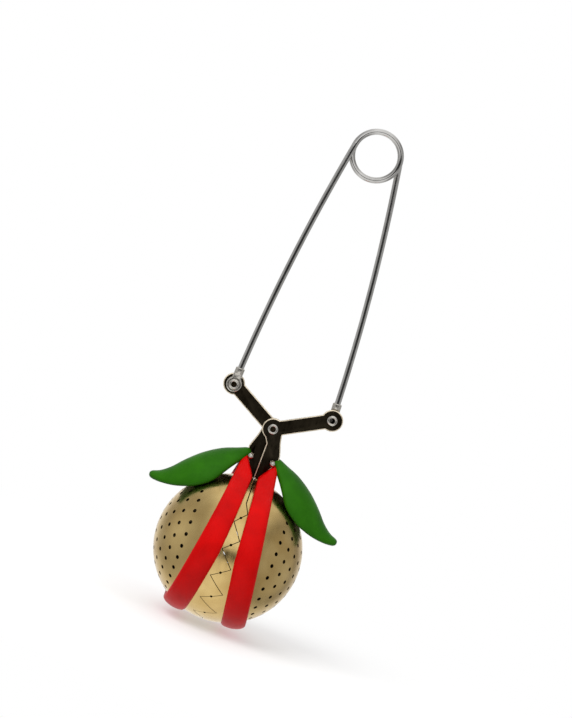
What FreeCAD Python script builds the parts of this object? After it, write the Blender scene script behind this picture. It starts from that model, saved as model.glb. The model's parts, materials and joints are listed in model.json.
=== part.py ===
"""Squeeze-handled tea infuser: a sprung wire handle, two plate levers on a shared rivet and a perforated ball.

The frame's origin is the centre of the handle's finger loop, +Z is up along the handle, +X is to the right and
-Y is the front. Each half of the ball hangs on its own lever, and the two levers share one rivet. Squeezing the
handle's legs together swings the halves apart. Lengths are in millimetres and angles in degrees.
"""

import FreeCAD
import Part
import math
import os

Vec = FreeCAD.Vector
X_AXIS, Y_AXIS, Z_AXIS = Vec(1, 0, 0), Vec(0, 1, 0), Vec(0, 0, 1)
ORIGIN = Vec(0, 0, 0)

# Driving dimensions of the handle.
WIRE_R = 1.0
LOOP_R = 7.75
LOOP_PITCH = 2.1
LOOP_TURN_DEG = 540.0
LEG_ANGLE = 10.0
PIVOT_Z = -93.3
PIVOT_X = 16.8
PIVOT_RISE = 9.2
EYE_Y = 1.1
EYE_T = 2.0
EYE_R = 2.5
COLLAR_R = 1.5
COLLAR_END = 5.6
SOCKET_START = 3.85

# Driving dimensions of the levers and their rivets.
PLATE_T = 1.2
PLATE_GAP = 0.05
BOSS_R = 3.5
ARM_W = 4.7
BODY_HALF_W = 5.3
SHANK_R = 1.2
SHANK_BORE_R = 0.75
SHANK_WEB = 0.5
HEAD_R = 1.75
HEAD_T = 0.55
WASHER_R = 2.15
WASHER_T = 0.3
RUNNING_GAP = 0.05
SLACK_R = 0.45
PIN_R = 0.6
PIN_HEAD_R = 0.95
PIN_X = 3.7
PIN_Z = PIVOT_Z - 10.4
PIN_HALF_SPAN = 3.0

# Driving dimensions of the ball, its teeth and its holes.
BALL_DROP = 41.1
BALL_R = 24.0
SHELL_T = 0.7
SEAM_GAP = 0.17
TOOTH_PITCH_DEG = 22.5
TOOTH_LEAD = 0.42
TOOTH_TOP_DEG = 37.5
TEETH_A_SIDE = 5
NOTCH_R = 0.42
HOLE_R = 0.65
HOLE_RINGS = 5
HOLE_STEP_DEG = 10.6

# Driving dimensions of the lips and leaves.
GAP_ANGLE = 3.6
LIP_ANGLE = 8.8
LIP_HALF_W = 4.3
LIP_PROUD = 1.9
LIP_APEX = 29.5
LIP_TOP = 11.0
LIP_SLANT_HIGH = (4.6, -10.8)
LIP_SLANT_LOW = (0.6, -16.6)
LIP_FIT = 0.03
LEAF_FIT = 0.25

BALL_C = Vec(0, 0, PIVOT_Z - BALL_DROP)
CENTRE = Vec(0, 0, PIVOT_Z)


def cylinder_y(radius, y_low, y_high, x=0.0, z=0.0):
    """A cylinder along Y."""
    return Part.makeCylinder(radius, y_high - y_low, Vec(x, y_low, z), Y_AXIS)


def mirrored(shape):
    """The shape reflected from the left side to the right side, front kept in front."""
    return shape.mirror(ORIGIN, X_AXIS)


def turned_round(shape):
    """The shape turned half a turn about the handle, so left and front become right and back."""
    turned = shape.copy()
    turned.rotate(ORIGIN, Z_AXIS, 180)
    return turned


def cut_all(shape, *cutters):
    """The shape less each cutter."""
    for cutter in cutters:
        shape = shape.cut(cutter)
    return shape


def largest(shape):
    """The largest solid of a shape, without the slivers a cut leaves."""
    return max(shape.Solids, key=lambda solid: solid.Volume)


# Handle.

def handle_loop():
    """One and a half turns of wire, from one leg's tangent point to the other's."""
    sweep = LOOP_TURN_DEG - 2 * LEG_ANGLE
    height = LOOP_PITCH * sweep / 360
    helix = Part.makeHelix(LOOP_PITCH, height, LOOP_R)
    start = Vec(LOOP_R, 0, 0)
    tangent = Vec(0, LOOP_R, LOOP_PITCH / (2 * math.pi))
    section = Part.Wire(Part.makeCircle(WIRE_R, start, tangent))
    loop = Part.Wire(helix.Edges).makePipeShell([section], True, True)
    loop.rotate(ORIGIN, X_AXIS, -90)
    loop.rotate(ORIGIN, Vec(0, -1, 0), 180 - LEG_ANGLE)
    loop.translate(Vec(0, -height / 2, 0))
    return loop


def left_leg_arc():
    """The bowed left leg's arc, from the loop to its pivot.

    Gives its radius, half its turn, its centre and axis, and a function from an angle, measured from the arc's
    middle, to the point and direction there.
    """
    turn = math.radians(LEG_ANGLE)
    y = -LOOP_PITCH * (LOOP_TURN_DEG - 2 * LEG_ANGLE) / 720
    top = Vec(-LOOP_R * math.cos(turn), y, LOOP_R * math.sin(turn))
    pivot = Vec(-PIVOT_X, -EYE_Y, PIVOT_Z + PIVOT_RISE)
    chord = pivot - top
    half_turn = turn - math.atan2(-chord.x, -chord.z)
    radius = chord.Length / (2 * math.sin(half_turn))
    along = Vec(chord).normalize()
    outward = Y_AXIS.cross(along).normalize()
    centre = (top + pivot) * 0.5 - outward * (radius * math.cos(half_turn))

    def at(angle):
        point = centre + (outward * math.cos(angle) + along * math.sin(angle)) * radius
        return point, along * math.cos(angle) - outward * math.sin(angle)

    return radius, half_turn, centre, outward.cross(along), at


def left_leg():
    """The bowed wire from the loop to the socket of the eye."""
    radius, half_turn, centre, axis, at = left_leg_arc()
    first = -half_turn + 0.1 / radius
    last = half_turn - SOCKET_START / radius
    face = Part.Face(Part.Wire(Part.makeCircle(WIRE_R, *at(first))))
    return face.revolve(centre, axis, math.degrees(last - first))


def left_eye():
    """The eye that turns on the lever's rivet, with the collar that holds the wire."""
    radius, half_turn, centre, axis, at = left_leg_arc()
    pivot, down = at(half_turn)
    up = down * -1
    ring = cylinder_y(EYE_R, pivot.y - EYE_T / 2, pivot.y + EYE_T / 2, pivot.x, pivot.z)
    ring = ring.makeFillet(0.45, [e for e in ring.Edges if isinstance(e.Curve, Part.Circle)])
    collar = Part.makeCylinder(COLLAR_R, COLLAR_END, pivot, up)
    rim = [e for e in collar.Edges if e.CenterOfMass.sub(pivot + up * COLLAR_END).Length < 0.1]
    collar = collar.makeFillet(0.3, rim)
    slab = Part.makeBox(40, EYE_T, 40, Vec(pivot.x - 20, pivot.y - EYE_T / 2, pivot.z - 20))
    flat_neck = collar.common(slab)
    free_neck = collar.cut(cylinder_y(BOSS_R + 0.25, -9, 9, pivot.x, pivot.z))
    socket = Part.makeCylinder(WIRE_R, COLLAR_END, pivot + up * SOCKET_START, up)
    bore = cylinder_y(SHANK_R + RUNNING_GAP, -9, 9, pivot.x, pivot.z)
    return cut_all(ring.fuse([flat_neck, free_neck]), socket, bore)


# Rivets, washers and pins.

def tubular_rivet(y_front, y_back, x, z):
    """A rivet along Y, hollow at both ends, whose rolled heads bear on the planes y_front and y_back."""
    shank = cylinder_y(SHANK_R, y_front, y_back, x, z)
    heads = []
    for low, high, outer in ((y_front - HEAD_T, y_front, y_front - HEAD_T),
                             (y_back, y_back + HEAD_T, y_back + HEAD_T)):
        head = cylinder_y(HEAD_R, low, high, x, z)
        rim = [e for e in head.Edges
               if isinstance(e.Curve, Part.Circle) and abs(e.CenterOfMass.y - outer) < 0.01]
        heads.append(head.makeFillet(0.4, rim))
    whole = shank.fuse(heads).removeSplitter()
    middle = (y_front + y_back) / 2
    front_bore = cylinder_y(SHANK_BORE_R, y_front - 2, middle - SHANK_WEB / 2, x, z)
    back_bore = cylinder_y(SHANK_BORE_R, middle + SHANK_WEB / 2, y_back + 2, x, z)
    return cut_all(whole, front_bore, back_bore)


def washer(y_low, x, z, hole_r=SHANK_R):
    """A thin washer along Y."""
    disc = cylinder_y(WASHER_R, y_low, y_low + WASHER_T, x, z)
    return disc.cut(cylinder_y(hole_r, y_low - 1, y_low + 2, x, z))


def left_pivot_rivet_and_washer():
    """The rivet fixed in the left lever, and the washer between its head and the eye."""
    x, z = -PIVOT_X, PIVOT_Z + PIVOT_RISE
    eye_front = -EYE_Y - EYE_T / 2
    washer_y = eye_front - 0.05 - WASHER_T
    rivet = tubular_rivet(washer_y, PLATE_GAP + PLATE_T, x, z)
    return rivet, washer(washer_y, x, z)


def centre_rivet_and_washer():
    """The rivet fixed in the front lever, and the washer behind the rear lever."""
    washer_y = PLATE_GAP + PLATE_T + 0.05
    rivet = tubular_rivet(-PLATE_GAP - PLATE_T, washer_y + WASHER_T, 0, PIVOT_Z)
    return rivet, washer(washer_y, 0, PIVOT_Z)


def left_pin():
    """The pin through the leaf's stem and the lever, with a domed head on each side."""
    pin = cylinder_y(PIN_R, -PIN_HALF_SPAN, PIN_HALF_SPAN, -PIN_X, PIN_Z)
    for y in (-PIN_HALF_SPAN, PIN_HALF_SPAN):
        pin = pin.fuse(Part.makeSphere(PIN_HEAD_R, Vec(-PIN_X, y, PIN_Z)))
    return pin


# Levers.

def left_plate_face():
    """The left lever's outline, in the plane y = 0, before it is bored."""
    z0 = PIVOT_Z
    arm_dir = Vec(-PIVOT_X, 0, PIVOT_RISE).normalize()
    arm_side = Vec(-arm_dir.z, 0, arm_dir.x) * (ARM_W / 2)
    end = Vec(-PIVOT_X, 0, z0 + PIVOT_RISE)
    arm = Part.makePolygon([CENTRE + arm_side, end + arm_side, end - arm_side, CENTRE - arm_side,
                            CENTRE + arm_side])
    body = Part.makePolygon([Vec(-3.0, 0, z0 + 1.2), Vec(-3.9, 0, z0 - 3.2), Vec(-BODY_HALF_W, 0, z0 - 7.5),
                             Vec(-BODY_HALF_W, 0, z0 - 10.0), Vec(-3.6, 0, z0 - 12.5), Vec(-2.6, 0, z0 - 19.5),
                             Vec(-0.12, 0, z0 - 19.5), Vec(-0.12, 0, z0 - 16.8), Vec(0.35, 0, z0 - 16.4),
                             Vec(0.35, 0, z0 - 5.0), Vec(2.2, 0, z0 - 2.0), Vec(-3.0, 0, z0 + 1.2)])
    discs = [Part.Face(Part.Wire(Part.makeCircle(BOSS_R, centre, Y_AXIS))) for centre in (CENTRE, end)]
    return [Part.Face(arm), Part.Face(body), *discs]


def left_lever():
    """The rear lever: a plate from the left pivot past the shared rivet to the ball."""
    solids = [face.extrude(Vec(0, PLATE_T, 0)) for face in left_plate_face()]
    plate = solids[0].fuse(solids[1:]).removeSplitter()
    corners = [e for e in plate.Edges
               if abs(e.Length - PLATE_T) < 1e-3 and abs(e.tangentAt(e.FirstParameter).y) > 0.99
               and PIVOT_Z - 14 < e.CenterOfMass.z]
    plate = plate.makeFillet(0.45, corners)
    plate.translate(Vec(0, PLATE_GAP, 0))
    end_bore = cylinder_y(SHANK_R, -9, 9, -PIVOT_X, PIVOT_Z + PIVOT_RISE)
    pin_bore = cylinder_y(PIN_R, -9, 9, -PIN_X, PIN_Z)
    return cut_all(plate, end_bore, pin_bore, Part.makeSphere(BALL_R, BALL_C))


# Ball.

def on_sphere(x, latitude, radius, side):
    """A point at a distance x from the seam plane, at a latitude on the front (-1) or back (1)."""
    ring = math.sqrt(radius * radius - x * x)
    turn = math.radians(latitude)
    return Vec(x, side * ring * math.cos(turn), ring * math.sin(turn))


def tooth_reach(latitude):
    """How far a tooth reaches over the seam plane: to the edge of the lip beside it."""
    below = BALL_DROP - BALL_R * math.sin(math.radians(latitude))
    return 0.94 * below * math.tan(math.radians(GAP_ANGLE))


def seam_points():
    """(x, latitude, side) of every corner of the toothed seam, round the ball from top to top.

    Half a turn about Z brings the seam onto itself, so the two shells are one and the same part.
    """
    half = [(0.0, 90.0), (0.0, TOOTH_TOP_DEG + 9)]
    for tooth in range(TEETH_A_SIDE):
        right = TOOTH_TOP_DEG - tooth * TOOTH_PITCH_DEG
        left = right - TOOTH_LEAD * TOOTH_PITCH_DEG
        half += [(tooth_reach(right), right), (-tooth_reach(left), left)]
    half += [(0.0, half[-1][1] - 9), (0.0, -90.0)]
    front = [(x, lat, -1) for x, lat in half]
    back = [(-x, lat, 1) for x, lat in reversed(half[1:-1])]
    return front + back


def left_space():
    """A solid with its tip at the ball's centre, bounded by the toothed seam, on the left."""
    reach = 40.0
    rim = [on_sphere(x * reach / BALL_R, lat, reach, side) for x, lat, side in seam_points()]
    far = Vec(-60, 0, 0)
    faces = []
    for a, b in zip(rim, rim[1:] + rim[:1]):
        for tip in (ORIGIN, far):
            faces.append(Part.Face(Part.makePolygon([tip, a, b, tip])))
    solid = Part.Solid(Part.Shell(faces))
    if solid.Volume < 0:
        solid.reverse()
    solid.translate(BALL_C)
    return solid


def left_hole_cutters():
    """Radial holes in rings round the middle of the left half of the ball."""
    cutters = []
    for ring in range(HOLE_RINGS + 1):
        count = max(1, 6 * ring)
        polar = math.radians(HOLE_STEP_DEG * ring)
        for k in range(count):
            turn = 2 * math.pi * (k + 0.5 * (ring % 2)) / count
            out = Vec(-math.cos(polar), math.sin(polar) * math.cos(turn), math.sin(polar) * math.sin(turn))
            cutters.append(Part.makeCylinder(HOLE_R, 4, BALL_C + out * (BALL_R - 3), out))
    return cutters


def notch_cutters():
    """Small round drain notches halfway along the shorter edges of the teeth."""
    cutters = []
    corners = [p for p in seam_points() if p[0] != 0.0]
    for a, b in zip(corners, corners[1:]):
        if a[2] == b[2] and a[0] > b[0]:
            out = on_sphere((a[0] + b[0]) / 2, (a[1] + b[1]) / 2, BALL_R, a[2]).normalize()
            cutters.append(Part.makeCylinder(NOTCH_R, 4, BALL_C + out * (BALL_R - 3), out))
    return cutters


def left_shell():
    """The left half of the ball, with teeth along the seam and a sieve of holes."""
    skin = Part.makeSphere(BALL_R, BALL_C).cut(Part.makeSphere(BALL_R - SHELL_T, BALL_C))
    space = left_space()
    space.translate(Vec(-SEAM_GAP, 0, 0))
    return skin.common(space).cut(left_hole_cutters() + notch_cutters())


# Lips.

def plane_box(angle, outward):
    """A large box whose inner face holds the shared rivet's axis, turned from the seam plane by angle."""
    size = 120.0
    corner = Vec(-size, -size / 2, -size) if outward else Vec(0, -size / 2, -size)
    box = Part.makeBox(size, size, size, corner)
    box.rotate(ORIGIN, Y_AXIS, angle)
    box.translate(CENTRE)
    return box


def slant_cutter():
    """A wedge that slants the left lip's top end down towards the seam."""
    high, low = [Vec(-x, -20, PIVOT_Z + z) for x, z in (LIP_SLANT_HIGH, LIP_SLANT_LOW)]
    above = Vec(5, -20, PIVOT_Z)
    beside = Vec(5, -20, low.z)
    return Part.Face(Part.makePolygon([high, low, beside, above, high])).extrude(Vec(0, 40, 0))


def left_lip():
    """The left lip: a rounded band round the mouth, drawn up to a point that grips the lever."""
    turn = math.radians(LIP_ANGLE)
    side = Vec(-math.cos(turn), 0, math.sin(turn))
    down = Vec(-math.sin(turn), 0, -math.cos(turn))
    along = BALL_DROP * math.cos(turn)
    centre = CENTRE + down * along
    ring_r = math.sqrt(BALL_R ** 2 - (BALL_DROP * math.sin(turn)) ** 2)
    lean = math.acos(ring_r / LIP_APEX)

    def at(distance, angle, sign):
        return centre - down * (distance * math.cos(angle)) + Vec(0, sign * distance * math.sin(angle), 0)

    front, back, apex = at(ring_r, lean, -1), at(ring_r, lean, 1), at(LIP_APEX, 0, 1)
    bottom = centre + down * ring_r
    mid_front, mid_back = at(ring_r, math.pi / 2, -1), at(ring_r, math.pi / 2, 1)
    half = []
    for tangent_point, mid, sign in ((front, mid_front, -1), (back, mid_back, 1)):
        path = Part.Wire([Part.makeLine(apex, tangent_point), Part.Arc(tangent_point, mid, bottom).toShape()])
        direction = (tangent_point - apex).normalize()
        normal = direction.cross(side)
        oval = Part.Ellipse(apex + side * LIP_HALF_W, apex + normal * LIP_PROUD, apex).toShape()
        band = path.makePipeShell([Part.Wire(oval)], True, False)
        half.append(band)
    web = Part.Face(Part.makePolygon([apex, front, centre, back, apex]))
    web.translate(side * -2.2)
    web = web.extrude(side * 4.4)
    lip = half[0].fuse([half[1], web])
    lip = lip.cut(Part.makeSphere(BALL_R + LIP_FIT, BALL_C))
    lip = lip.cut(plane_box(GAP_ANGLE, False))
    top = cylinder_y(LIP_TOP, -20, 20, 0, PIVOT_Z)
    return largest(cut_all(lip, top, slant_cutter()))


# Leaves.

LEAF_LINE = ((4.1, -9.0), (7.4, -11.4), (11.6, -14.2), (16.0, -17.8),
             (20.4, -21.6), (24.4, -24.8), (28.4, -26.8), (32.2, -27.4))
LEAF_HALF_W = (1.4, 4.2, 7.4, 9.2, 8.6, 6.4, 4.0, 1.7)
LEAF_HALF_T = (1.3, 2.2, 3.2, 3.8, 3.6, 2.8, 1.9, 1.1)
LEAF_DROOP = (0.0, 1.1, 2.9, 4.4, 4.0, 2.4, 0.9, 0.0)


def leaf_section(index, points=16):
    """A closed curve round the leaf, across its midrib, edges drooping towards the ball."""
    x, z = LEAF_LINE[index]
    before = LEAF_LINE[max(index - 1, 0)]
    after = LEAF_LINE[min(index + 1, len(LEAF_LINE) - 1)]
    along = Vec(-(after[0] - before[0]), 0, after[1] - before[1]).normalize()
    up = Vec(along.z, 0, -along.x)
    centre = Vec(-x, 0, PIVOT_Z + z)
    ring = []
    for k in range(points):
        turn = 2 * math.pi * k / points
        across = math.cos(turn)
        lift = LEAF_HALF_T[index] * math.sin(turn) - LEAF_DROOP[index] * across * across
        ring.append(centre + Vec(0, LEAF_HALF_W[index] * across, 0) + up * lift)
    curve = Part.BSplineCurve()
    curve.interpolate(ring, PeriodicFlag=True)
    return Part.Wire(curve.toShape())


def left_leaf():
    """The left leaf, from its stem beside the lever to the tip that turns out past the ball."""
    leaf = Part.makeLoft([leaf_section(i) for i in range(len(LEAF_LINE))], True, False)
    if leaf.Volume < 0:
        leaf.reverse()
    return leaf


def build():
    """Every node by name."""
    rivet, pivot_washer = left_pivot_rivet_and_washer()
    centre_rivet, centre_washer = centre_rivet_and_washer()
    leg, shell = left_leg(), left_shell()
    lever, pin, lip, leaf = left_lever(), left_pin(), left_lip(), left_leaf()
    eye = left_eye().cut(leg)
    keep_clear = Part.makeSphere(BALL_R + LEAF_FIT, BALL_C)
    right_lever = turned_round(lever).cut(cylinder_y(SHANK_R, -9, 9, 0, PIVOT_Z))
    lever = lever.cut(cylinder_y(SHANK_R + SLACK_R, -9, 9, 0, PIVOT_Z))
    right_lip = mirrored(lip)
    lip = cut_all(lip, lever, pin)
    right_pin = mirrored(pin)
    right_lip = cut_all(right_lip, right_lever, right_pin)
    right_leaf = largest(cut_all(mirrored(leaf), right_lip, right_lever, right_pin, keep_clear))
    leaf = largest(cut_all(leaf, lip, lever, pin, keep_clear))
    return {
        "handle_loop": handle_loop(),
        "left_leg": leg, "right_leg": turned_round(leg),
        "left_eye": eye, "right_eye": turned_round(eye),
        "left_lever": lever, "right_lever": right_lever,
        "left_pivot_rivet": rivet, "right_pivot_rivet": turned_round(rivet),
        "left_pivot_washer": pivot_washer, "right_pivot_washer": turned_round(pivot_washer),
        "centre_rivet": centre_rivet, "centre_washer": centre_washer,
        "left_shell": shell, "right_shell": turned_round(shell),
        "left_lip": lip, "right_lip": right_lip,
        "left_leaf": leaf, "right_leaf": right_leaf,
        "left_pin": pin, "right_pin": right_pin,
    }


def main():
    os.makedirs("parts", exist_ok=True)
    for name, shape in build().items():
        solids = [solid for solid in shape.Solids if solid.Volume > 0.02]
        shape = solids[0] if len(solids) == 1 else Part.makeCompound(solids)
        shape.exportStep(f"parts/{name}.step")
        print(name, "valid" if shape.isValid() else "INVALID", len(solids), round(shape.Volume, 1))


main()
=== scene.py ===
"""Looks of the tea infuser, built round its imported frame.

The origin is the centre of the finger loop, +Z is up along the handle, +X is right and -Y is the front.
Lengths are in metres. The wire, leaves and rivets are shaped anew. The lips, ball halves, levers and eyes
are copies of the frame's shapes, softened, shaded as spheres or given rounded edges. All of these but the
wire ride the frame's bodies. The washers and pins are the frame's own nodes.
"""

import bmesh
import bpy
import json
import math
from mathutils import Matrix, Vector


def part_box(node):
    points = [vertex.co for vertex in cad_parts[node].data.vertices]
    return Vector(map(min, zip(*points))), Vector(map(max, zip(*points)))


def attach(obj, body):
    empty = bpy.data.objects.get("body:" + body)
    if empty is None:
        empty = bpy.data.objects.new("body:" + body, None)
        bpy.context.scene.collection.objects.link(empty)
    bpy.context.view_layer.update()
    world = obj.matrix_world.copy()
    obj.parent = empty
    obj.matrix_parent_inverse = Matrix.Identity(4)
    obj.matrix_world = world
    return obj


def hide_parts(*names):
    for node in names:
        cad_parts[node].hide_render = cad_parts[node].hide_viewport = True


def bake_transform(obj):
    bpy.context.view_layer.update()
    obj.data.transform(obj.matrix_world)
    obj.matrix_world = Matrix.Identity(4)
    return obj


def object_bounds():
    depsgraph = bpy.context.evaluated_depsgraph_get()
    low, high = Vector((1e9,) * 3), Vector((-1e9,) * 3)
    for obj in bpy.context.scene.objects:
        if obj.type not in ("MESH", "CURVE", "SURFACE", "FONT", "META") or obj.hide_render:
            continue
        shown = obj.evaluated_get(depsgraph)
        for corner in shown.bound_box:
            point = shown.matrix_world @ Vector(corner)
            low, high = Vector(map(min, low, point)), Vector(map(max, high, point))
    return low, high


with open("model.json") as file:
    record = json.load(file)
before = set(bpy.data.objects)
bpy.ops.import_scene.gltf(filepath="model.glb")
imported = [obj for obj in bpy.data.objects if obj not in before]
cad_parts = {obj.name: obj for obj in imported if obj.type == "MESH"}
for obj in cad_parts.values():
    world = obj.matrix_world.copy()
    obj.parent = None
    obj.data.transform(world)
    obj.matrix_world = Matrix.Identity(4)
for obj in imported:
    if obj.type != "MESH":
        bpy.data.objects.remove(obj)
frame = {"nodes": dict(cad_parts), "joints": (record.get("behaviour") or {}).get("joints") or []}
cad_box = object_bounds()

MM = 0.001
Y_AXIS, Z_AXIS = Vector((0, 1, 0)), Vector((0, 0, 1))
SIDES = (("left", -1), ("right", 1))

# Handle.
WIRE_R = 1.0 * MM
LOOP_R = 7.75 * MM
LOOP_PITCH = 2.1 * MM
LOOP_TURN = math.radians(540)
SOCKET_START = 3.85 * MM
SOCKET_GAP = 0.1 * MM
PIVOT = {joint["name"]: Vector(joint["pos_m"]) for joint in frame["joints"]}["left_jaw_swing"]
EYE_Y = 1.1 * MM
LEG_ANGLE = math.radians(10)

# Rivets.
RIVET_SHANK_R = 1.2 * MM
RIVET_BORE_R = 0.8 * MM
RIVET_HEAD_R = 1.75 * MM
RIVET_HEAD_T = 0.55 * MM
RIVET_WEB = 0.5 * MM
RIVET_FLOOR_EDGE = 0.1 * MM
RIM_STEPS = 12

# Levers and eyes: how wide their rounded edges are, and which angles are rounded or count as flat.
LEVER_EDGE = 0.30 * MM
EYE_EDGE = 0.10 * MM
EDGE_SEGMENTS = 3
EDGE_ANGLE = math.radians(30)
FLAT_ANGLE = math.radians(0.8)

# Corners of the frame's meshes that are nearer than this are one corner.
WELD = 0.002 * MM

# Ball, lips and leaves. The leaf's lists run from its root to its tip, in millimetres: its midrib's (x, z)
# from CENTRE, its half width, its half thickness, and how far its edges droop.
CENTRE = Vector((0, 0, -93.3 * MM))
BALL_C = CENTRE - Z_AXIS * (41.1 * MM)
BALL_R = 24.0 * MM
SEAT_REACH = 0.7 * MM
SEAT_DEPTH = 0.25 * MM
LIP_VOXEL = 0.22 * MM
LIP_SMOOTHING = 20
LIP_KEPT = 0.4
SHELL_T = 0.7 * MM
ON_SKIN = 0.03 * MM
LEAF_LINE = ((4.1, -9.0), (7.4, -11.4), (11.6, -14.2), (16.0, -17.8),
             (20.4, -21.6), (24.4, -24.8), (28.4, -26.8), (32.2, -27.4))
LEAF_HALF_W = (1.4, 4.2, 7.4, 9.2, 8.6, 6.4, 4.0, 1.7)
LEAF_HALF_T = (1.3, 2.2, 3.2, 3.8, 3.6, 2.8, 1.9, 1.1)
LEAF_DROOP = (0.0, 1.1, 2.9, 4.4, 4.0, 2.4, 0.9, 0.0)
LEAF_TIP_KEPT = 0.02
LEAF_CLEARANCE = 0.3 * MM
LEAF_VOXEL = 0.3 * MM
LEAF_SMOOTHING = 12

# Camera: its distance, its frame's height, its roll and downward tilt, its target, and its sensor in mm.
CAMERA_DISTANCE = 1.0
FRAME_HEIGHT = 0.2298
CAMERA_ROLL = math.radians(20.7)
CAMERA_ELEVATION = math.radians(4)
CAMERA_TARGET = Vector((-4.06 * MM, 0, -70.8 * MM))
SENSOR = 36.0

# Studio: how bright the backdrop and floor look, the floor's size, its gap below the object and where it
# fades, and (place across, brightness) of what polished metal reflects.
BACKDROP_LEVEL = 1.0
FLOOR_GLOW = 0.35
FLOOR_HALF_W = 3.0
FLOOR_GAP = 2 * MM
FLOOR_FADE = (0.04, 0.16)
STUDIO_WALLS = ((0.0, 0.60), (0.08, 0.42), (0.16, 0.50), (0.26, 0.85), (0.40, 1.0),
                (0.60, 1.0), (0.76, 0.75), (0.86, 0.30), (0.93, 0.50), (1.0, 0.45))

# The dark patch in front of the object, which the wire mirrors as its dark line: how bright it is, and
# where it fades in and out.
DARK_LEVEL = 0.03
DARK_FRONT = (-0.3, 0.0)
DARK_PATCH = (("X", (-0.72, -0.54), (0.54, 0.72)), ("Z", (-0.22, -0.15), (0.06, 0.12)))

# Lamps: name, place, size and power in watts.
LAMPS = (("key", (-0.45, -0.45, 0.45), (0.6, 0.6), 5.0),
         ("fill", (0.6, -0.4, 0.1), (0.2, 0.5), 1.2))


# Materials.

def shader_node(tree, kind, **inputs):
    """A new node with the named sockets set."""
    node = tree.nodes.new(kind)
    for name, value in inputs.items():
        node.inputs[name.replace("_", " ")].default_value = value
    return node


def noise(tree, scale, detail, stretch=(1, 1, 1), coordinates="Object"):
    """A noise texture in the object's coordinates or its UV map, stretched along an axis where asked."""
    place = tree.nodes.new("ShaderNodeTexCoord")
    mapping = tree.nodes.new("ShaderNodeMapping")
    mapping.inputs["Scale"].default_value = stretch
    texture = shader_node(tree, "ShaderNodeTexNoise", Scale=scale, Detail=detail)
    tree.links.new(place.outputs[coordinates], mapping.inputs["Vector"])
    tree.links.new(mapping.outputs["Vector"], texture.inputs["Vector"])
    return texture.outputs["Fac"]


def spread(tree, value, low, high, low_in=0.3, high_in=0.7):
    """The value, mapped from its usual range to the range low to high."""
    node = shader_node(tree, "ShaderNodeMapRange",
                       From_Min=low_in, From_Max=high_in, To_Min=low, To_Max=high)
    tree.links.new(value, node.inputs["Value"])
    return node.outputs["Result"]


def colour_between(tree, value, dark, light, low=0.3, high=0.7):
    """A colour that runs from dark to light with the value."""
    ramp = tree.nodes.new("ShaderNodeValToRGB")
    ramp.color_ramp.elements[0].position = low
    ramp.color_ramp.elements[1].position = high
    ramp.color_ramp.elements[0].color = (*dark, 1)
    ramp.color_ramp.elements[1].color = (*light, 1)
    tree.links.new(value, ramp.inputs["Fac"])
    return ramp.outputs["Color"]


def bump(tree, height, strength, distance):
    """A normal roughened by the height."""
    node = shader_node(tree, "ShaderNodeBump", Strength=strength, Distance=distance)
    tree.links.new(height, node.inputs["Height"])
    return node.outputs["Normal"]


def principled(name, metallic):
    """A new material, its node tree and its shader."""
    material = bpy.data.materials.new(name)
    material.use_nodes = True
    shader = material.node_tree.nodes["Principled BSDF"]
    shader.inputs["Metallic"].default_value = metallic
    return material, material.node_tree, shader


def surface(tree, shader, colour, roughness, normal=None):
    """Feeds the shader its colour, its roughness and, where given, its normal."""
    tree.links.new(colour, shader.inputs["Base Color"])
    tree.links.new(roughness, shader.inputs["Roughness"])
    if normal is not None:
        tree.links.new(normal, shader.inputs["Normal"])


def drawn_wire_steel():
    """Polished spring wire with fine draw lines that run along it."""
    material, tree, shader = principled("spring_wire", 1.0)
    lines = noise(tree, 1.0, 2, (18, 0.2, 1), "UV")
    patches = noise(tree, 260, 2)
    surface(tree, shader, colour_between(tree, patches, (0.50, 0.49, 0.47), (0.66, 0.65, 0.63)),
            spread(tree, lines, 0.09, 0.14),
            bump(tree, lines, 0.02, 0.02 * MM))
    return material


def burnished_plate():
    """Dark burnished plate steel with a fine satin grain."""
    material, tree, shader = principled("lever_plate", 1.0)
    grain = noise(tree, 1400, 4, (1, 1, 0.18))
    patches = noise(tree, 220, 3)
    surface(tree, shader, colour_between(tree, patches, (0.013, 0.010, 0.006), (0.034, 0.027, 0.017)),
            spread(tree, grain, 0.26, 0.44),
            bump(tree, grain, 0.15, 0.03 * MM))
    return material


def bare_edge_and_highlight():
    """Bright bare steel on the plate's rounded edges, brightened further as a painted highlight."""
    material, tree, shader = principled("lever_edge", 0.5)
    edge_and_highlight_tone = noise(tree, 900, 3)
    # The edge colours are bare steel lifted into a painted highlight line.
    surface(tree, shader, colour_between(tree, edge_and_highlight_tone, (0.60, 0.50, 0.36), (0.95, 0.84, 0.64)),
            spread(tree, edge_and_highlight_tone, 0.45, 0.30))
    return material


def rivet_steel():
    """Polished turned steel with faint handling marks."""
    material, tree, shader = principled("rivet_steel", 1.0)
    marks = noise(tree, 1800, 3)
    surface(tree, shader, colour_between(tree, marks, (0.50, 0.47, 0.42), (0.70, 0.67, 0.61)),
            spread(tree, marks, 0.16, 0.24),
            bump(tree, marks, 0.02, 0.02 * MM))
    return material


def rivet_recess_shade():
    """The inside of a hollow rivet, painted dull and dark as the shade in its recess."""
    material, tree, shader = principled("rivet_recess_shade", 1.0)
    recess_shade_tone = noise(tree, 1500, 3)
    surface(tree, shader, colour_between(tree, recess_shade_tone, (0.020, 0.014, 0.008), (0.090, 0.062, 0.030)),
            spread(tree, recess_shade_tone, 0.45, 0.65))
    return material


def ball_steel():
    """Polished deep-drawn steel with fine polishing lines round the ball, uneven gold from tea stain and
    painted reflection.
    """
    material, tree, shader = principled("ball_steel", 1.0)
    lines = noise(tree, 900, 3, (1.0, 0.25, 0.25))
    stain_and_painted_light = noise(tree, 90, 4)
    # The gold colours are partly tea stain and partly a painted warm reflection.
    surface(tree, shader, colour_between(tree, stain_and_painted_light, (0.56, 0.38, 0.14), (0.76, 0.56, 0.24)),
            spread(tree, lines, 0.18, 0.30),
            bump(tree, lines, 0.05, 0.02 * MM))
    return material


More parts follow.
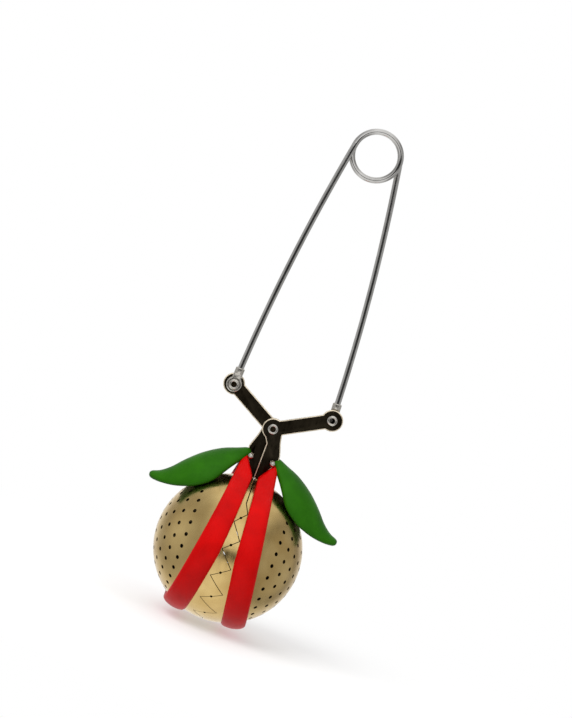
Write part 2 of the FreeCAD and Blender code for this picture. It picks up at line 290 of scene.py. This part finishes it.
def ball_inside_stain_and_shade():
    """The inside of the ball and the cut walls of its holes, dulled by tea and painted dark as the shade
    within.
    """
    material, tree, shader = principled("ball_inside_stain_and_shade", 1.0)
    stain_and_painted_light = noise(tree, 240, 4)
    surface(tree, shader, colour_between(tree, stain_and_painted_light, (0.050, 0.034, 0.015), (0.160, 0.110, 0.050)),
            spread(tree, stain_and_painted_light, 0.40, 0.60))
    return material


def moulded_plastic(name, dark, light, roughness):
    """Satin moulded plastic, with slight mottling and a fine pebble in its gloss and surface."""
    material, tree, shader = principled(name, 0.0)
    mottle = noise(tree, 120, 3)
    pebble = noise(tree, 2600, 2)
    surface(tree, shader, colour_between(tree, mottle, dark, light),
            spread(tree, pebble, roughness - 0.05, roughness + 0.07),
            bump(tree, pebble, 0.10, 0.02 * MM))
    shader.inputs["Specular IOR Level"].default_value = 0.1
    return material


MATERIALS = {
    "spring_wire": drawn_wire_steel(),
    "lever_plate": burnished_plate(),
    "lever_edge": bare_edge_and_highlight(),
    "rivet_steel": rivet_steel(),
    "rivet_recess_shade": rivet_recess_shade(),
    "ball_steel": ball_steel(),
    "ball_inside_stain_and_shade": ball_inside_stain_and_shade(),
    "lip_red": moulded_plastic("lip_red", (0.44, 0.0006, 0.0006), (0.60, 0.0012, 0.001), 0.42),
    "leaf_green": moulded_plastic("leaf_green", (0.012, 0.085, 0.0010), (0.022, 0.130, 0.002), 0.42),
}


# Mesh helpers.

def new_piece(name, mesh, material, body=None):
    """A piece made of the mesh, with its material and slot, riding a body where one is given."""
    piece = bpy.data.objects.new(name, mesh)
    bpy.context.scene.collection.objects.link(piece)
    mesh.materials.clear()
    mesh.materials.append(MATERIALS[material])
    if body:
        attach(piece, body)
    return piece


def smooth_faces(mesh, sharp_angle):
    """Smooth shading, apart from edges sharper than the angle."""
    mesh.shade_smooth()
    mesh.set_sharp_from_angle(angle=math.radians(sharp_angle))


def welded_copy(node):
    """A copy of a frame node's mesh with its split corners joined."""
    mesh = frame["nodes"][node].data.copy()
    work = bmesh.new()
    work.from_mesh(mesh)
    bmesh.ops.remove_doubles(work, verts=work.verts, dist=WELD)
    work.to_mesh(mesh)
    work.free()
    return mesh


def with_modifiers(piece):
    """The piece's mesh with its modifiers applied."""
    graph = bpy.context.evaluated_depsgraph_get()
    mesh = bpy.data.meshes.new_from_object(piece.evaluated_get(graph))
    piece.modifiers.clear()
    piece.data = mesh
    return mesh


def softened(piece, voxel, smoothing, kept=1.0):
    """The piece's mesh, made even, smoothed and thinned to the part of its faces to be kept."""
    even = piece.modifiers.new("even", "REMESH")
    even.mode = "VOXEL"
    even.voxel_size = voxel
    soften = piece.modifiers.new("soften", "SMOOTH")
    soften.factor = 0.5
    soften.iterations = smoothing
    if kept < 1.0:
        thin = piece.modifiers.new("thin", "DECIMATE")
        thin.ratio = kept
    return with_modifiers(piece)


def tube(name, line, radius, sides=24):
    """A round closed tube along a line of points, with a UV map that runs along it."""
    count = len(line)
    rings, lengths = [], [0.0]
    for k, point in enumerate(line):
        along = (line[min(k + 1, count - 1)] - line[max(k - 1, 0)]).normalized()
        first = (Y_AXIS - along * along.dot(Y_AXIS)).normalized()
        second = along.cross(first)
        rings.append([point + (first * math.cos(turn) + second * math.sin(turn)) * radius
                      for turn in (2 * math.pi * j / sides for j in range(sides))])
        if k:
            lengths.append(lengths[-1] + (point - line[k - 1]).length)
    faces = [(k * sides + j, k * sides + (j + 1) % sides,
              (k + 1) * sides + (j + 1) % sides, (k + 1) * sides + j)
             for k in range(count - 1) for j in range(sides)]
    caps = [tuple(reversed(range(sides))), tuple(range((count - 1) * sides, count * sides))]
    mesh = bpy.data.meshes.new(name)
    mesh.from_pydata([corner for ring in rings for corner in ring], [], faces + caps)
    layer = mesh.uv_layers.new(name="along")
    for face in mesh.polygons[:len(faces)]:
        k, j = divmod(face.index, sides)
        corners = ((k, j), (k, j + 1), (k + 1, j + 1), (k + 1, j))
        for loop, (row, column) in zip(face.loop_indices, corners):
            layer.data[loop].uv = (column / sides, lengths[row] / (2 * math.pi * radius))
    smooth_faces(mesh, sharp_angle=60)
    return mesh


# Handle.

def leg_line(top, pivot, step=1.5 * MM):
    """Points along the bowed left leg, from the loop to the eye's socket."""
    chord = pivot - top
    half_turn = LEG_ANGLE - math.atan2(-chord.x, -chord.z)
    radius = chord.length / (2 * math.sin(half_turn))
    along = chord.normalized()
    outward = Y_AXIS.cross(along).normalized()
    centre = (top + pivot) / 2 - outward * (radius * math.cos(half_turn))
    last = half_turn - (SOCKET_START + SOCKET_GAP) / radius
    steps = round(chord.length / step)
    angles = [-half_turn + (last + half_turn) * k / steps for k in range(1, steps + 1)]
    return [centre + (outward * math.cos(angle) + along * math.sin(angle)) * radius
            for angle in angles]


def wire_line(side, turn_step=math.radians(3)):
    """The middle of one half of the wire, from the bottom of the finger loop to the eye's socket."""
    start = math.pi - LEG_ANGLE
    sweep = LOOP_TURN - 2 * LEG_ANGLE
    half_depth = LOOP_PITCH * sweep / (4 * math.pi)
    steps = round(sweep / 2 / turn_step)
    line = []
    for k in range(steps + 1):
        turn = sweep / 2 * (1 - k / steps)
        depth = LOOP_PITCH * turn / (2 * math.pi) - half_depth
        line.append(Vector((LOOP_R * math.cos(start - turn), depth, LOOP_R * math.sin(start - turn))))
    line += leg_line(line[-1], Vector((PIVOT.x, -EYE_Y, PIVOT.z)))
    return [Vector((-side * point.x, -side * point.y, point.z)) for point in line]


def handle_wires():
    """The spring wire, parted at the bottom of the finger loop."""
    for word, side in SIDES:
        mesh = tube(f"handle_wire_{word}", wire_line(side), WIRE_R)
        wire = new_piece(f"handle_wire_{word}", mesh, "spring_wire")
        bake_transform(wire)
        if word == "left":
            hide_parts("handle_loop", "left_leg")
        else:
            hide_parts("right_leg")


# Lips.

def seat_on_ball(mesh):
    """Draws what lies close over the ball just under its surface, for a clean line where the two meet."""
    for vertex in mesh.vertices:
        out = vertex.co - BALL_C
        clear = max((out.length - BALL_R) / SEAT_REACH, 0.0)
        if clear < 1.0:
            sunk = (BALL_R - SEAT_DEPTH) * (1 - clear) + out.length * clear
            vertex.co = BALL_C + out.normalized() * sunk


def lips():
    """The red bands, with every edge softened as a moulding's is."""
    for word, _ in SIDES:
        node = f"{word}_lip"
        piece = new_piece(f"{word}_lip_band", welded_copy(node), "lip_red", f"{word}_jaw")
        mesh = softened(piece, LIP_VOXEL, LIP_SMOOTHING, LIP_KEPT)
        seat_on_ball(mesh)
        mesh.shade_smooth()
        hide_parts(node)


# Leaves.

def between(values, position):
    """The value at a position along a list, on a smooth curve through its entries."""
    k = min(int(position), len(values) - 2)
    t = position - k
    before, a, b = values[max(k - 1, 0)], values[k], values[k + 1]
    after = values[min(k + 2, len(values) - 1)]
    return 0.5 * (2 * a + (b - before) * t + (2 * before - 5 * a + 4 * b - after) * t * t
                  + (3 * a - before - 3 * b + after) * t ** 3)


def end_rounding(position, length=0.4):
    """How much of its section the leaf keeps near its ends, so that they are round."""
    nearest = min(position, len(LEAF_LINE) - 1 - position)
    return math.sqrt(max(0.0, 1 - (1 - nearest / length) ** 2)) if nearest < length else 1.0


def leaf_point(position, turn):
    """A point of the right leaf's skin: how far along the leaf, and the turn round its section."""
    keep = max(end_rounding(position), LEAF_TIP_KEPT)
    xs, zs = [x for x, z in LEAF_LINE], [z for x, z in LEAF_LINE]
    step = 0.05
    low, high = max(position - step, 0), min(position + step, len(LEAF_LINE) - 1)
    ahead = between(xs, high) - between(xs, low), 0, between(zs, high) - between(zs, low)
    along = Vector(ahead).normalized()
    up = Vector((-along.z, 0, along.x))
    across = math.cos(turn)
    thickness = between(LEAF_HALF_T, position) * math.sin(turn)
    lift = (thickness - between(LEAF_DROOP, position) * across ** 2) * keep
    middle = Vector((between(xs, position), 0, between(zs, position)))
    point = middle + Y_AXIS * (between(LEAF_HALF_W, position) * across * keep) + up * lift
    return CENTRE + point * MM


def leaf_mesh(name, side, rows=56, columns=40):
    """A leaf: a smooth skin round its midrib, pressed in where it lies on the ball, with rounded ends."""
    clear = BALL_R + LEAF_CLEARANCE
    vertices = []
    for row in range(rows + 1):
        position = (len(LEAF_LINE) - 1) * (1 - math.cos(math.pi * row / rows)) / 2
        for column in range(columns):
            point = leaf_point(position, 2 * math.pi * column / columns)
            out = point - BALL_C
            if out.length < clear:
                point = BALL_C + out.normalized() * clear
            vertices.append(Vector((side * point.x, point.y, point.z)))
    faces = [(r * columns + c, r * columns + (c + 1) % columns,
              (r + 1) * columns + (c + 1) % columns, (r + 1) * columns + c)
             for r in range(rows) for c in range(columns)]
    faces += [tuple(reversed(range(columns))), tuple(range(rows * columns, (rows + 1) * columns))]
    mesh = bpy.data.meshes.new(name)
    mesh.from_pydata(vertices, [], faces)
    work = bmesh.new()
    work.from_mesh(mesh)
    bmesh.ops.recalc_face_normals(work, faces=work.faces)
    work.to_mesh(mesh)
    work.free()
    return mesh


def leaves():
    """The green shoulders, which lie on the ball and turn out at their tips."""
    for word, side in SIDES:
        node = f"{word}_leaf"
        piece = new_piece(f"{word}_leaf_blade", leaf_mesh(node, side), "leaf_green", f"{word}_jaw")
        mesh = softened(piece, LEAF_VOXEL, LEAF_SMOOTHING)
        mesh.shade_smooth()
        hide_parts(node)


# Ball.

def shell_normal(face, corner):
    """The direction a corner of the shell faces: radial on its skins, and the face's own on cut edges."""
    outs = [vertex.co - BALL_C for vertex in face.verts]
    if all(abs(out.length - BALL_R) < ON_SKIN for out in outs):
        return (corner.vert.co - BALL_C).normalized()
    if all(abs(out.length - BALL_R + SHELL_T) < ON_SKIN for out in outs):
        return (BALL_C - corner.vert.co).normalized()
    return face.normal.copy()


def shells():
    """The perforated halves of the ball, shaded as true spheres."""
    for word, _ in SIDES:
        node = f"{word}_shell"
        mesh = welded_copy(node)
        piece = new_piece(f"{word}_ball_half", mesh, "ball_steel", f"{word}_jaw")
        work = bmesh.new()
        work.from_mesh(mesh)
        work.normal_update()
        normals = [shell_normal(face, corner) for face in work.faces for corner in face.loops]
        outer = [face.normal.dot((face.calc_center_median() - BALL_C).normalized()) > 0.5
                 for face in work.faces]
        work.free()
        # The inside and the holes' walls take the material painted dark as the shade within the ball.
        mesh.materials.append(MATERIALS["ball_inside_stain_and_shade"])
        mesh.polygons.foreach_set("material_index", [int(not out) for out in outer])
        mesh.shade_smooth()
        mesh.normals_split_custom_set(normals)
        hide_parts(node)


# Levers, eyes, rivets, washers and pins.

def bevelled(node, name, body, width, materials):
    """A frame node's shape with rounded edges, whose rounded faces take the last of the materials."""
    piece = new_piece(name, welded_copy(node), materials[0], body)
    for material in materials[1:]:
        piece.data.materials.append(MATERIALS[material])
    work = bmesh.new()
    work.from_mesh(piece.data)
    bmesh.ops.dissolve_limit(work, angle_limit=FLAT_ANGLE, verts=work.verts, edges=work.edges)
    work.to_mesh(piece.data)
    work.free()
    bevel = piece.modifiers.new("rounded", "BEVEL")
    bevel.width = width
    bevel.segments = EDGE_SEGMENTS
    bevel.limit_method = "ANGLE"
    bevel.angle_limit = EDGE_ANGLE
    bevel.material = len(materials) - 1
    bevel.use_clamp_overlap = False
    mesh = with_modifiers(piece)
    smooth_faces(mesh, sharp_angle=50)
    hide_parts(node)


def rivet_profile(front, back):
    """(radius, y) round half of a rivet's section, from its front recess's middle to its back one's."""
    middle = (front + back) / 2
    rim_r = (RIVET_HEAD_R - RIVET_BORE_R) / 2
    profile = []
    for face, out in ((front, -1), (back, 1)):
        floor_y = middle + out * RIVET_WEB / 2
        half = [(0.0, floor_y), (RIVET_BORE_R * 0.8, floor_y),
                (RIVET_BORE_R, floor_y + out * RIVET_FLOOR_EDGE)]
        for k in range(RIM_STEPS + 1):
            turn = math.pi * k / RIM_STEPS
            radius = RIVET_BORE_R + rim_r * (1 - math.cos(turn))
            half.append((radius, face + out * RIVET_HEAD_T * math.sin(turn)))
        half.append((RIVET_SHANK_R, face))
        profile += half if out < 0 else list(reversed(half))
    return profile


def rivet_mesh(name, centre, front, back, sides=40):
    """A rivet turned about an axis along Y."""
    profile = rivet_profile(front, back)
    turns = [2 * math.pi * j / sides for j in range(sides)]
    work = bmesh.new()
    rings = []
    for radius, y in profile:
        if radius == 0.0:
            rings.append([work.verts.new((centre.x, y, centre.z))])
            continue
        rings.append([work.verts.new((centre.x + radius * math.cos(turn), y,
                                      centre.z + radius * math.sin(turn))) for turn in turns])
    for ring, after in zip(rings, rings[1:]):
        for j in range(sides):
            corners = [ring[j % len(ring)], ring[(j + 1) % len(ring)],
                       after[(j + 1) % len(after)], after[j % len(after)]]
            work.faces.new(list(dict.fromkeys(corners)))
    bmesh.ops.recalc_face_normals(work, faces=work.faces)
    mesh = bpy.data.meshes.new(name)
    work.to_mesh(mesh)
    work.free()
    smooth_faces(mesh, sharp_angle=40)
    return mesh


def rivets():
    """The three hollow rivets, with rolled rims and recesses painted dark as shade."""
    for node, body in (("left_pivot_rivet", "left_jaw"), ("right_pivot_rivet", "right_jaw"),
                       ("centre_rivet", "right_jaw")):
        low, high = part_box(node)
        middle = (low + high) / 2
        name = node.replace("_rivet", "_tube_rivet")
        mesh = rivet_mesh(name, middle, low.y + RIVET_HEAD_T, high.y - RIVET_HEAD_T)
        piece = new_piece(name, mesh, "rivet_steel", body)
        # Faces within the bore take the material painted dark as the recess's shade.
        mesh.materials.append(MATERIALS["rivet_recess_shade"])
        axis = Vector((middle.x, 0, middle.z))
        for face in mesh.polygons:
            off_axis = face.center - axis - Y_AXIS * face.center.y
            face.material_index = int(off_axis.length < RIVET_BORE_R)
        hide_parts(node)


def finish_node(node, material):
    """Gives a frame node its material."""
    slots = frame["nodes"][node].data.materials
    slots.clear()
    slots.append(MATERIALS[material])


def metalwork():
    """The levers with bright edges partly painted as a highlight, the eyes, and the small turned parts."""
    for word, _ in SIDES:
        # The levers' rounded edges take the bright edge material, bare steel brightened as a painted
        # highlight.
        bevelled(f"{word}_lever", f"{word}_lever_plate", f"{word}_jaw", LEVER_EDGE,
                 ("lever_plate", "lever_edge"))
        bevelled(f"{word}_eye", f"{word}_eye_ring", f"{word}_handle_leg", EYE_EDGE, ("rivet_steel",))
        finish_node(f"{word}_pivot_washer", "rivet_steel")
        finish_node(f"{word}_pin", "rivet_steel")
    finish_node("centre_washer", "rivet_steel")


# Stage.

def floor():
    """A wide pale floor just under the object, which fades into the white backdrop away from it."""
    lowest = cad_box[0].z - FLOOR_GAP
    corners = [(x * FLOOR_HALF_W, y * FLOOR_HALF_W, lowest)
               for x, y in ((-1, -1), (1, -1), (1, 1), (-1, 1))]
    mesh = bpy.data.meshes.new("floor")
    mesh.from_pydata(corners, [], [(0, 1, 2, 3)])
    plane = bpy.data.objects.new("floor", mesh)
    bpy.context.scene.collection.objects.link(plane)
    material, tree, shader = principled("floor_white", 0.0)
    shader.inputs["Base Color"].default_value = (0.92, 0.92, 0.92, 1)
    shader.inputs["Roughness"].default_value = 0.9
    backdrop = shader_node(tree, "ShaderNodeEmission", Color=(1, 1, 1, 1), Strength=BACKDROP_LEVEL)
    place = tree.nodes.new("ShaderNodeTexCoord")
    distance = tree.nodes.new("ShaderNodeVectorMath")
    distance.operation = "DISTANCE"
    distance.inputs[1].default_value = (0, 0, lowest)
    tree.links.new(place.outputs["Object"], distance.inputs[0])
    fade = shader_node(tree, "ShaderNodeMapRange",
                       From_Min=FLOOR_FADE[0], From_Max=FLOOR_FADE[1], To_Min=FLOOR_GLOW, To_Max=1.0)
    fade.interpolation_type = "SMOOTHSTEP"
    tree.links.new(distance.outputs["Value"], fade.inputs["Value"])
    mix = tree.nodes.new("ShaderNodeMixShader")
    tree.links.new(fade.outputs["Result"], mix.inputs["Fac"])
    tree.links.new(shader.outputs["BSDF"], mix.inputs[1])
    tree.links.new(backdrop.outputs["Emission"], mix.inputs[2])
    tree.links.new(mix.outputs["Shader"], tree.nodes["Material Output"].inputs["Surface"])
    mesh.materials.append(material)
    plane.visible_glossy = False
    plane.visible_diffuse = False


def studio_world():
    """A white studio whose side walls and dark patch behind the camera give polished metal its streaks."""
    world = bpy.data.worlds.new("studio")
    world.use_nodes = True
    bpy.context.scene.world = world
    tree = world.node_tree
    background = tree.nodes["Background"]
    place = tree.nodes.new("ShaderNodeTexCoord")
    parts = tree.nodes.new("ShaderNodeSeparateXYZ")
    tree.links.new(place.outputs["Generated"], parts.inputs["Vector"])
    walls = tree.nodes.new("ShaderNodeValToRGB")
    elements = walls.color_ramp.elements
    while len(elements) < len(STUDIO_WALLS):
        elements.new(0.5)
    for element, (position, level) in zip(elements, STUDIO_WALLS):
        element.position = position
        element.color = (level, level, level, 1)
    tree.links.new(spread(tree, parts.outputs["X"], 0.0, 1.0, -1.0, 1.0), walls.inputs["Fac"])
    dark = spread(tree, parts.outputs["Y"], 1.0, 0.0, *DARK_FRONT)
    for axis, rise, fall in DARK_PATCH:
        for low, high, ends in ((0.0, 1.0, rise), (1.0, 0.0, fall)):
            both = tree.nodes.new("ShaderNodeMath")
            both.operation = "MULTIPLY"
            tree.links.new(dark, both.inputs[0])
            tree.links.new(spread(tree, parts.outputs[axis], low, high, *ends), both.inputs[1])
            dark = both.outputs[0]
    behind = tree.nodes.new("ShaderNodeMix")
    behind.data_type = "RGBA"
    tree.links.new(dark, behind.inputs["Factor"])
    tree.links.new(walls.outputs["Color"], behind.inputs["A"])
    behind.inputs["B"].default_value = (DARK_LEVEL, DARK_LEVEL, DARK_LEVEL, 1)
    seen = tree.nodes.new("ShaderNodeLightPath")
    choose = tree.nodes.new("ShaderNodeMix")
    choose.data_type = "RGBA"
    tree.links.new(seen.outputs["Is Camera Ray"], choose.inputs["Factor"])
    tree.links.new(behind.outputs["Result"], choose.inputs["A"])
    choose.inputs["B"].default_value = (BACKDROP_LEVEL, BACKDROP_LEVEL, BACKDROP_LEVEL, 1)
    tree.links.new(choose.outputs["Result"], background.inputs["Color"])
    background.inputs["Strength"].default_value = 1.0


def colours_as_lit():
    """Shows colours as they are lit, as a plain product photograph does."""
    bpy.context.scene.view_settings.view_transform = "Standard"


def area_light(name, place, size, power):
    """A soft light that faces the ball, and that polished metal does not mirror."""
    light = bpy.data.lights.new(name, "AREA")
    light.shape = "RECTANGLE"
    light.size, light.size_y = size
    light.energy = power
    lamp = bpy.data.objects.new(name, light)
    bpy.context.scene.collection.objects.link(lamp)
    lamp.location = place
    lamp.rotation_mode = "QUATERNION"
    lamp.rotation_quaternion = (BALL_C - Vector(place)).to_track_quat("-Z", "Y")
    lamp.visible_glossy = False


def camera():
    """A long lens that looks slightly down, rolled so that the handle leans to the right."""
    data = bpy.data.cameras.new("camera")
    data.sensor_width = SENSOR
    data.lens = SENSOR * CAMERA_DISTANCE / FRAME_HEIGHT
    right = Vector((math.cos(CAMERA_ROLL), 0, math.sin(CAMERA_ROLL)))
    up = Vector((-math.sin(CAMERA_ROLL), 0, math.cos(CAMERA_ROLL)))
    ahead = Y_AXIS * math.cos(CAMERA_ELEVATION) - up * math.sin(CAMERA_ELEVATION)
    top = right.cross(ahead)
    made = bpy.data.objects.new("camera", data)
    bpy.context.scene.collection.objects.link(made)
    turned = Matrix((right, top, -ahead)).transposed().to_4x4()
    made.matrix_world = Matrix.Translation(CAMERA_TARGET - ahead * CAMERA_DISTANCE) @ turned
    bpy.context.scene.camera = made


handle_wires()
lips()
leaves()
shells()
metalwork()
rivets()
floor()
studio_world()
colours_as_lit()
for lamp in LAMPS:
    area_light(*lamp)
camera()
